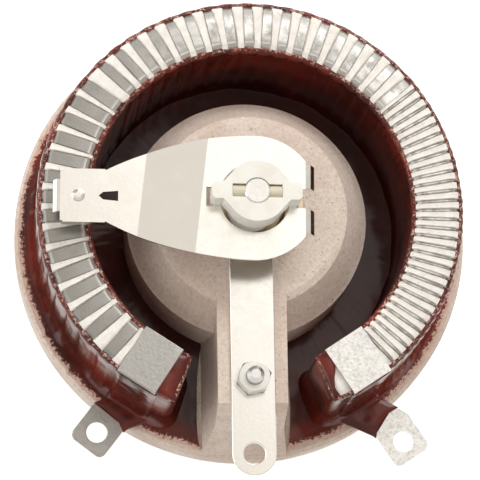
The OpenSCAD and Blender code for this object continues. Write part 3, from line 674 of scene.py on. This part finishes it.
def windingTree():
    tree = bpy.data.node_groups.new("turnsRoundCore", "GeometryNodeTree")
    tree.is_modifier = True
    for label, kind in (("Geometry", "NodeSocketGeometry"), ("Turns", "NodeSocketInt"),
                        ("First", "NodeSocketFloat"), ("Pitch", "NodeSocketFloat"),
                        ("Spread", "NodeSocketFloat"), ("Width", "NodeSocketFloat"),
                        ("Corner", "NodeSocketFloat"), ("Bow", "NodeSocketFloat"),
                        ("Scatter", "NodeSocketFloat"), ("Seed", "NodeSocketInt"),
                        ("Finish", "NodeSocketMaterial")):
        tree.interface.new_socket(label, in_out="INPUT", socket_type=kind)
    tree.interface.new_socket("Geometry", in_out="OUTPUT", socket_type="NodeSocketGeometry")
    take, give = add(tree, "NodeGroupInput"), add(tree, "NodeGroupOutput")

    # the loop that one turn follows round the core, drawn flat and bowed across the track
    wide = (track["outer"] - track["inner"] - ribbonThick) * mm
    tall = (track["top"] - track["foot"] - ribbonThick) * mm
    loop = add(tree, "GeometryNodeCurvePrimitiveQuadrilateral", Width=wide, Height=tall)
    rounded = add(tree, "GeometryNodeFilletCurve", {"mode": "POLY"}, Radius=track["bend"] * mm,
                  Count=track["bendSteps"])
    join(tree, loop.outputs[0], rounded.inputs["Curve"])
    fineLoop = add(tree, "GeometryNodeSubdivideCurve", Cuts=3)
    join(tree, rounded.outputs[0], fineLoop.inputs["Curve"])
    place = add(tree, "GeometryNodeInputPosition")
    parts = add(tree, "ShaderNodeSeparateXYZ")
    join(tree, place.outputs[0], parts.inputs[0])
    across = calc(tree, "DIVIDE", parts.outputs["X"], wide / 2)
    drop = calc(tree, "POWER", calc(tree, "ABSOLUTE", across), 2.0)
    upper = calc(tree, "GREATER_THAN", parts.outputs["Y"], tall / 4)
    down = calc(tree, "MULTIPLY", calc(tree, "MULTIPLY", drop, upper), take.outputs["Bow"])
    down = calc(tree, "MULTIPLY", down, -mm)
    shift = add(tree, "ShaderNodeCombineXYZ")
    join(tree, down, shift.inputs["Y"])
    bowed = add(tree, "GeometryNodeSetPosition")
    join(tree, fineLoop.outputs[0], bowed.inputs["Geometry"])
    join(tree, shift.outputs[0], bowed.inputs["Offset"])

    # the ribbon's own section, swept round that loop
    section = add(tree, "GeometryNodeCurvePrimitiveQuadrilateral", Width=ribbonThick * mm)
    join(tree, calc(tree, "MULTIPLY", take.outputs["Width"], mm), section.inputs["Height"])
    easedSection = add(tree, "GeometryNodeFilletCurve", {"mode": "POLY"}, Count=1)
    join(tree, section.outputs[0], easedSection.inputs["Curve"])
    join(tree, calc(tree, "MULTIPLY", take.outputs["Corner"], mm), easedSection.inputs["Radius"])
    band = add(tree, "GeometryNodeCurveToMesh")
    join(tree, bowed.outputs[0], band.inputs["Curve"])
    join(tree, easedSection.outputs[0], band.inputs["Profile Curve"])
    stand = add(tree, "GeometryNodeTransform")
    stand.inputs["Rotation"].default_value = (math.radians(90), 0, math.radians(track["lean"]))
    stand.inputs["Translation"].default_value = (trackMiddle * mm, 0,
                                                 (track["top"] + track["foot"]) / 2 * mm)
    join(tree, band.outputs[0], stand.inputs["Geometry"])

    # one loop for each turn, spaced by the winding's own rule, each a little out of line
    line = add(tree, "GeometryNodeMeshLine")
    join(tree, take.outputs["Turns"], line.inputs["Count"])
    line.inputs["Offset"].default_value = (0, 0, 0)
    count = add(tree, "GeometryNodeInputIndex").outputs[0]
    stepped = calc(tree, "MULTIPLY", count, take.outputs["Pitch"])
    eased = calc(tree, "MULTIPLY", calc(tree, "DIVIDE", count, calc(tree, "ADD", count, 1.0)),
                 take.outputs["Spread"])
    angle = calc(tree, "SUBTRACT", calc(tree, "SUBTRACT", take.outputs["First"], stepped), eased)
    scatter = add(tree, "FunctionNodeRandomValue", {"data_type": "FLOAT"})
    scatter.inputs[2].default_value = -1.0
    scatter.inputs[3].default_value = 1.0
    join(tree, take.outputs["Seed"], scatter.inputs["Seed"])
    moved = calc(tree, "MULTIPLY", scatter.outputs[1], take.outputs["Scatter"])
    angle = calc(tree, "RADIANS", calc(tree, "ADD", angle, moved))
    spin = add(tree, "ShaderNodeCombineXYZ")
    join(tree, angle, spin.inputs["Z"])
    height = add(tree, "FunctionNodeRandomValue", {"data_type": "FLOAT"})
    height.inputs[2].default_value = 1 - track["unevenness"]
    height.inputs[3].default_value = 1.0
    join(tree, calc(tree, "ADD", take.outputs["Seed"], 7.0), height.inputs["Seed"])
    uneven = add(tree, "ShaderNodeCombineXYZ", X=1.0, Y=1.0)
    join(tree, height.outputs[1], uneven.inputs["Z"])
    turns = add(tree, "GeometryNodeInstanceOnPoints")
    join(tree, line.outputs[0], turns.inputs["Points"])
    join(tree, stand.outputs[0], turns.inputs["Instance"])
    join(tree, spin.outputs[0], turns.inputs["Rotation"])
    join(tree, uneven.outputs[0], turns.inputs["Scale"])
    real = add(tree, "GeometryNodeRealizeInstances")
    join(tree, turns.outputs[0], real.inputs[0])
    coated = add(tree, "GeometryNodeSetMaterial")
    join(tree, real.outputs[0], coated.inputs["Geometry"])
    join(tree, take.outputs["Finish"], coated.inputs["Material"])
    join(tree, coated.outputs[0], give.inputs[0])
    return tree


def grow(name, tree, values):       # runs a Geometry Nodes tree and returns the plain mesh that it makes
    seed = bpy.data.objects.new(name + "Seed", bpy.data.meshes.new(name + "Seed"))
    scene.collection.objects.link(seed)
    modifier = seed.modifiers.new(name, "NODES")
    modifier.node_group = tree
    for item in tree.interface.items_tree:
        if item.item_type == "SOCKET" and item.in_out == "INPUT" and item.name in values:
            modifier[item.identifier] = values[item.name]
    made = bpy.data.meshes.new_from_object(seed.evaluated_get(bpy.context.evaluated_depsgraph_get()))
    seed.modifiers.remove(modifier)
    bpy.data.objects.remove(seed)
    return made


def makeWinding():
    tree = windingTree()
    for number, (kind, part) in enumerate(winding.items()):
        made = grow(kind + "Turns", tree, {
            "Turns": part["turns"], "First": part["first"], "Pitch": part["pitch"],
            "Spread": part["spread"], "Width": part["width"], "Corner": part["corner"],
            "Bow": part["bow"], "Scatter": part["scatter"], "Seed": 11 + number,
            "Finish": finishes["resistance_alloy"]})
        finishPiece(kind + "Turns", made, "resistance_alloy", "root", (part["node"],), sharp=24.0)
        print(kind, "turns:", len(made.polygons), "faces")


makeWinding()


# Cement between the turns

cement = {"across": 7, "along": 22, "innerEnd": 38.9, "outerEnd": 49.15, "sink": 0.20, "edgeSink": 0.08,
          "groove": 0.40, "wave": 0.07, "waveSize": 2.2, "floor": 0.75, "endRound": 1.3, "endFall": 0.55,
          "pastPlates": (0.4, -0.9, 1.5, 0.6)}    # degrees past the plates' sides and the ring's right end
ringEnds = (-67.5, 247.5)
clampAngle = 33.2       # from -Y to the middle of each clamp plate, in degrees
clampHalf = 6.8


def makeCement():
    sides = []
    for kind in ("wide", "medium", "fine"):
        half = winding[kind]["width"] / 2
        sides += [(a, half) for a in turnAngles(kind)]
    edges = (270 - clampAngle - clampHalf, clampAngle - 90 + clampHalf, clampAngle - 90 - clampHalf,
             ringEnds[0])
    bare = [(edge + past, 0.0) for edge, past in zip(edges, cement["pastPlates"])]
    sides = bare[:1] + sides + bare[1:]
    vertices, faces = [], []
    lean = math.radians(track["lean"])
    for (angleA, halfA), (angleB, halfB) in zip(sides, sides[1:]):
        start = len(vertices)
        rows, columns = cement["along"], cement["across"]
        grid = []
        for r in range(rows):
            radius = cement["innerEnd"] + (cement["outerEnd"] - cement["innerEnd"]) * r / (rows - 1)
            ends = []
            for angle, off in ((angleA, -halfA), (angleB, halfB)):
                x, y = radius - trackMiddle, off
                x, y = (x * math.cos(lean) - y * math.sin(lean) + trackMiddle,
                        x * math.sin(lean) + y * math.cos(lean))
                c, s = turned(angle)
                ends.append((x * c - y * s, x * s + y * c))
            fromEnd = min(r, rows - 1 - r) / (rows - 1) * (cement["outerEnd"] - cement["innerEnd"])
            fall = (1 - smooth(fromEnd / cement["endRound"])) * cement["endFall"]
            for c in range(columns):
                t = c / (columns - 1)
                x = ends[0][0] + (ends[1][0] - ends[0][0]) * t
                y = ends[0][1] + (ends[1][1] - ends[0][1]) * t
                hollow = cement["edgeSink"] + (cement["sink"] - cement["edgeSink"]) * (4 * t * (1 - t))
                hollow += cement["groove"] if c in (0, columns - 1) else 0.0
                wave = cement["wave"] * wander(x, y, 0, cement["waveSize"], 3)
                grid.append((x, y, track["top"] - hollow - fall + wave))
        vertices += grid
        vertices += [(x, y, track["top"] - ribbonThick - cement["floor"]) for x, y, z in grid]
        faces += slabFaces(rows, columns, start)
    newPiece("trackCement", vertices, faces, "cement", "root", ("track_cement",), sharp=45.0)


makeCement()
print("winding and cement made")


# Enamel coat

coat = {"outer": 49.3, "inner": 38.9, "thick": 0.8, "foot": 8.6, "floorThick": 0.6, "corner": 1.3,
        "flareOut": 1.9, "flareIn": 1.0, "flareTop": 15.5, "lip": 37.35, "step": 0.42, "rib": 0.30,
        "lump": 0.22, "edge": 53.5, "ragged": 0.50, "leftReach": 0.6, "crust": 1.7, "ribLean": 0.10,
        "floorRows": 22, "floorColumns": 560, "endRise": 0.55, "ribReach": 0.35, "bendSteps": 6,
        "buried": -0.8, "hub": 28.7, "bridgeHalf": 10.05,
        "levels": [8.3, 8.62, 8.9, 9.3, 9.9, 10.7, 11.7, 13.0, 14.5, 16.2, 18.0, 20.0, 22.0, 24.0, 26.0,
                   28.0, 30.0, 31.8, 33.3, 34.5, 35.4, 36.1, 36.6]}


# the open ring's outline, as points of x, y, outward x, outward y, share of outer flare, side and angle
def coatPath():
    path = []
    out, inside, corner = coat["outer"], coat["inner"], coat["corner"]
    right, left = ringEnds

    def arc(radius, first, last, facing):
        steps = max(int(abs(math.radians(last - first)) * radius / coat["step"]), 2)
        for i in range(steps + 1):
            a = first + (last - first) * i / steps
            c, s = turned(a)
            path.append((radius * c, radius * s, facing * c, facing * s, 1.0 if facing > 0 else 0.0,
                         facing, a))

    def bend(radius, angle, spinFrom, spinTo, outerShare):
        trim = math.degrees(corner / radius)
        centreAngle = angle + (trim if angle == right else -trim)
        centreRadius = radius - corner if radius == out else radius + corner
        c, s = turned(centreAngle)
        for i in range(1, coat["bendSteps"]):
            n = turned(centreAngle + spinFrom + (spinTo - spinFrom) * i / coat["bendSteps"])
            path.append((centreRadius * c + corner * n[0], centreRadius * s + corner * n[1], *n,
                         outerShare, 0, centreAngle))

    def face(angle, first, last, spin):
        n = turned(angle + spin)
        c, s = turned(angle)
        steps = int(abs(last - first) / coat["step"])
        for i in range(steps + 1):
            radius = first + (last - first) * i / steps
            path.append((radius * c, radius * s, *n, (radius - inside) / (out - inside), 0, angle))

    trimOut, trimIn = math.degrees(corner / out), math.degrees(corner / inside)
    arc(out, right + trimOut, left - trimOut, 1)
    bend(out, left, 0, 90, 1.0)
    face(left, out - corner, inside + corner, 90)
    bend(inside, left, 90, 180, 0.0)
    arc(inside, left - trimIn, right + trimIn, -1)
    bend(inside, right, 180, 270, 0.0)
    face(right, inside + corner, out - corner, -90)
    bend(out, right, -90, 0, 1.0)
    return path


def ribHeight(angle, radius, side, z):      # how far a turn lifts the coat at this angle
    if side == 0:
        return 0.0
    lean = math.degrees(math.tan(math.radians(track["lean"])) * (radius - trackMiddle) / radius)
    slide = coat["ribLean"] * (track["top"] - z) if side < 0 else 0.0
    best = 0.0
    for kind, part in winding.items():
        half = part["width"] / 2 + coat["ribReach"]
        first, pitch = part["first"] + lean, part["pitch"]
        position = (first - angle) / pitch
        for guess in (round(position) - 1, round(position)):
            near = min(max(guess, 0), part["turns"] - 1)
            away = abs((first - near * pitch - part["spread"] * near / (near + 1) - angle)
                       * math.pi / 180 * radius + slide)
            best = max(best, 1 - smooth((away - half + 0.45) / 0.9))
    return best


def makeCoatWalls():
    path = coatPath()
    heights, buried = coat["levels"], coat["buried"]
    vertices = []
    for x, y, nx, ny, share, side, angle in path:
        flare = coat["flareIn"] + (coat["flareOut"] - coat["flareIn"]) * share
        flare *= 1 + 0.35 * wander(x, y, 0, 7.0, 1)
        top = coat["lip"] + 0.30 * wander(x, y, 0, 1.6, 2) + 0.15 * wander(x, y, 0, 0.7, 5)
        top += coat["endRise"] if side == 0 else 0.0
        radius = math.hypot(x, y)
        for z in heights:
            low = max((coat["flareTop"] - z) / (coat["flareTop"] - coat["foot"]), 0.0)
            out = coat["thick"] + flare * low ** 2.6
            fade = smooth((z - coat["foot"]) / 4) * smooth((trackTop - z) / 3)
            out += coat["rib"] * fade * ribHeight(angle, radius, side, z)
            out += coat["lump"] * fade * wander(x, y, z * 0.6, 9.0, 3)
            out += 0.07 * wander(x, y, z * 0.6, 2.6, 4)
            vertices.append((x + nx * out, y + ny * out, z))
        for out, z in ((coat["thick"] - 0.12, top - 0.35), (0.42, top - 0.05), (0.05, top),
                       (buried, top - 0.4), (buried, 20.0), (buried, heights[0])):
            vertices.append((x + nx * out, y + ny * out, z))
    columns = len(heights) + 6
    piece = newPiece("coatWalls", vertices, ringFaces(len(path), columns), "enamel", "root",
                     ("enamel_coat",), sharp=70.0)
    thin = piece.data.attributes.new("thinness", "FLOAT", "POINT")
    for vertex in piece.data.vertices:
        thin.data[vertex.index].value = smooth((vertex.co.z / mm - 36.4) / 1.2) * 0.35
    print("coat walls:", len(piece.data.polygons), "faces")


def makeCoatFloor():
    rows, columns = coat["floorRows"], coat["floorColumns"]
    halfBridge, hub = coat["bridgeHalf"], coat["hub"]
    vertices, thin = [], []
    for layer in (1, 0):
        for r in range(rows):
            t = r / (rows - 1)
            for c in range(columns):
                u = c / (columns - 1)
                guess = hub + (coat["edge"] - hub) * t
                halfGap = halfBridge + 0.25 * wander(guess, u * 9, 0, 3, 8)
                gap = math.degrees(math.asin(min(halfGap / guess, 0.9)))
                angle = -90 + gap + (360 - 2 * gap) * u
                a, b = turned(angle)
                ragged = wander(a * 50, b * 50, 0, 2.4, 6) + 0.6 * wander(a * 50, b * 50, 0, 0.9, 7)
                ragged = coat["ragged"] * ragged
                edge = coat["edge"] + ragged
                edge += coat["leftReach"] * smooth((-a - 0.1) / 0.6)
                radius = edge - (edge - hub) * (1 - t) ** 1.8
                rim = smooth((edge - radius) / 0.9)
                lift = coat["floorThick"] * (0.35 + 0.65 * rim) if layer else -0.05
                if layer:
                    lift += 0.10 * wander(radius * a, radius * b, 0, 5.0, 9) * rim
                    lift += 0.05 * wander(radius * a, radius * b, 0, 1.2, 10)
                vertices.append((radius * a, radius * b, baseTop + lift))
                thin.append(1 - smooth((edge - radius) / coat["crust"]))
    faces = slabFaces(rows, columns, turnedOver=True)
    mesh = bpy.data.meshes.new("coatFloor")
    mesh.from_pydata([tuple(np.array(v) * mm) for v in vertices], [], faces)
    layer = mesh.attributes.new("thinness", "FLOAT", "POINT")
    layer.data.foreach_set("value", thin)
    finishPiece("coatFloor", mesh, "enamel", "root", sharp=70.0)


makeCoatWalls()
makeCoatFloor()


# Enamel over the necks of the two end terminals

# hole: distance, angle and direction of the tab; ends: where the enamel stops on either side
necks = [
    {"name": "startNeck", "clamp": 270 - clampAngle, "hole": (60.2, -126.0, -127.8), "ends": (0.85, 1.12)},
    {"name": "endNeck", "clamp": 270 + clampAngle, "hole": (63.9, -53.0, -56.8), "ends": (1.06, 0.62)},
]
neckShape = {"halfLeg": 5.15, "halfTab": 4.8, "tabInner": 4.8, "over": 0.4, "thick": 0.55, "strip": 0.8,
             "tabTop": 9.4, "top": 36.9, "bendTop": 13.5, "bendReach": 1.6,
             "columns": 17, "legRows": 14, "bendRows": 8, "tabRows": 12, "pastHole": 8}


def makeNeck(neck):
    shape = neckShape
    cr, sr = turned(neck["clamp"])
    distance, angle, aim = neck["hole"]
    hx, hy = [v * distance for v in turned(angle)]
    ax, ay = turned(aim)
    wall = coat["outer"] + shape["strip"]
    columns = shape["columns"]
    rows = []           # for each row: its points from one side to the other, and the way that it faces
    for z in np.linspace(shape["top"], shape["bendTop"], shape["legRows"]):
        rows.append([(wall * cr, wall * sr, z, 0.0)] * columns)
    for i in range(1, shape["bendRows"] + 1):
        t = i / shape["bendRows"]
        reach = wall + shape["bendReach"] * (1 - math.cos(t * math.pi / 2))
        z = shape["bendTop"] - (shape["bendTop"] - shape["tabTop"]) * math.sin(t * math.pi / 2)
        rows.append([(reach * cr, reach * sr, z, t)] * columns)
    grid = [[(x - sr * (c / (columns - 1) * 2 - 1) * (shape["halfLeg"] + shape["over"]),
              y + cr * (c / (columns - 1) * 2 - 1) * (shape["halfLeg"] + shape["over"]), z, flat)
             for c, (x, y, z, flat) in enumerate(row)] for row in rows]
    bendEnd = grid[-1]
    for i in range(1, shape["tabRows"] + 1):
        row = []
        for c in range(columns):
            side = c / (columns - 1) * 2 - 1
            reach = neck["ends"][0] + (neck["ends"][1] - neck["ends"][0]) * (side + 1) / 2
            reach -= 0.16 * (1 - side * side)
            across = side * (shape["halfTab"] + shape["over"])
            tx, ty = hx - ax * shape["tabInner"] - ay * across, hy - ay * shape["tabInner"] + ax * across
            t = i / shape["tabRows"] * reach
            inTab = max(t - 1.0, 0.0)
            t = min(t, 1.0)
            fromX, fromY = bendEnd[c][0], bendEnd[c][1]
            further = inTab * shape["pastHole"]
            row.append((fromX + (tx - fromX) * t + ax * further, fromY + (ty - fromY) * t + ay * further,
                        shape["tabTop"], 1.0))
        grid.append(row)
    vertices = []
    for k, row in enumerate(grid):
        taper = 0.25 + 0.75 * smooth((len(grid) - 1 - k) / 2.0) if k else 0.45
        upper, lower = [], []
        for c, (x, y, z, flat) in enumerate(row):
            side = c / (columns - 1) * 2 - 1
            up, out = math.sin(flat * math.pi / 2), math.cos(flat * math.pi / 2)
            crown = shape["thick"] * taper * (1 - abs(side) ** 6)
            crown += 0.24 * wander(x, y, z, 3.4, 22) * taper * (1 - side ** 4)
            under = -shape["strip"] * 0.6
            upper.append((x + cr * crown * out, y + sr * crown * out, z + crown * up))
            lower.append((x + cr * under * out, y + sr * under * out, z + under * up))
        vertices += upper + lower[::-1]
    around = 2 * columns
    faces = ringFaces(len(grid), around, closeRows=False)
    faces.append(tuple(range(around)))
    faces.append(tuple((len(grid) - 1) * around + c for c in range(around - 1, -1, -1)))
    newPiece(neck["name"], vertices, faces, "enamel", "root", sharp=60.0)


for neck in necks:
    makeNeck(neck)


# the coat's skin over the ring's two ends, beyond the clamp plates
endCovers = [{"name": "startEndCover", "end": ringEnds[1], "inward": -1, "reach": (5.2, 5.2)},
             {"name": "endEndCover", "end": ringEnds[0], "inward": 1, "reach": (4.6, 0.7)}]
endCoverShape = {"inner": 38.5, "outer": 49.9, "top": 38.35, "crown": 0.45, "foot": 37.0, "overhang": 0.55,
                 "rows": 16, "columns": 12, "fall": 1.0, "lipFall": 0.45}


def makeEndCover(cover):
    shape = endCoverShape
    rows, columns = shape["rows"], shape["columns"]
    atInner, atOuter = cover["reach"]
    upper, lower = [], []
    for r in range(rows):
        u = r / (rows - 1)
        radius = shape["inner"] + (shape["outer"] - shape["inner"]) * u
        reach = atInner + (atOuter - atInner) * smooth(u * 1.25)
        reach += 0.5 * wander(radius, 0, 0, 2.0, 31)
        for c in range(columns):
            t = c / (columns - 1)
            along = -shape["overhang"] + (reach + shape["overhang"]) * t
            angle = cover["end"] + cover["inward"] * math.degrees(along / radius)
            a, b = turned(angle)
            fall = max(abs(u * 2 - 1) ** 6, (1 - t) ** 5)
            swell = 0.5 + 0.5 * wander(radius * a, radius * b, 0, 3.0, 32)
            z = shape["top"] + shape["crown"] * swell - shape["fall"] * fall
            z -= shape["lipFall"] * smooth((t - 0.85) / 0.15)
            upper.append((radius * a, radius * b, z))
            lower.append((radius * a, radius * b, shape["foot"]))
    newPiece(cover["name"], upper + lower, slabFaces(rows, columns), "enamel", "root", sharp=70.0)


for cover in endCovers:
    makeEndCover(cover)
print("enamel coat made")


# Sheet parts and mouldings with eased edges

easedParts = {"wiper_arm": 0.14, "start_terminal": 0.26, "centre_terminal": 0.22,
              "drive_boss": 0.35, "contact_spring": 0.08, "brush_holder": 0.10, "terminal_nut": 0.15,
              "ceramic_base": 0.45}
for name, width in easedParts.items():
    softEdged(name, width)
print("sheet parts eased")


# The last line

print("pieces done")
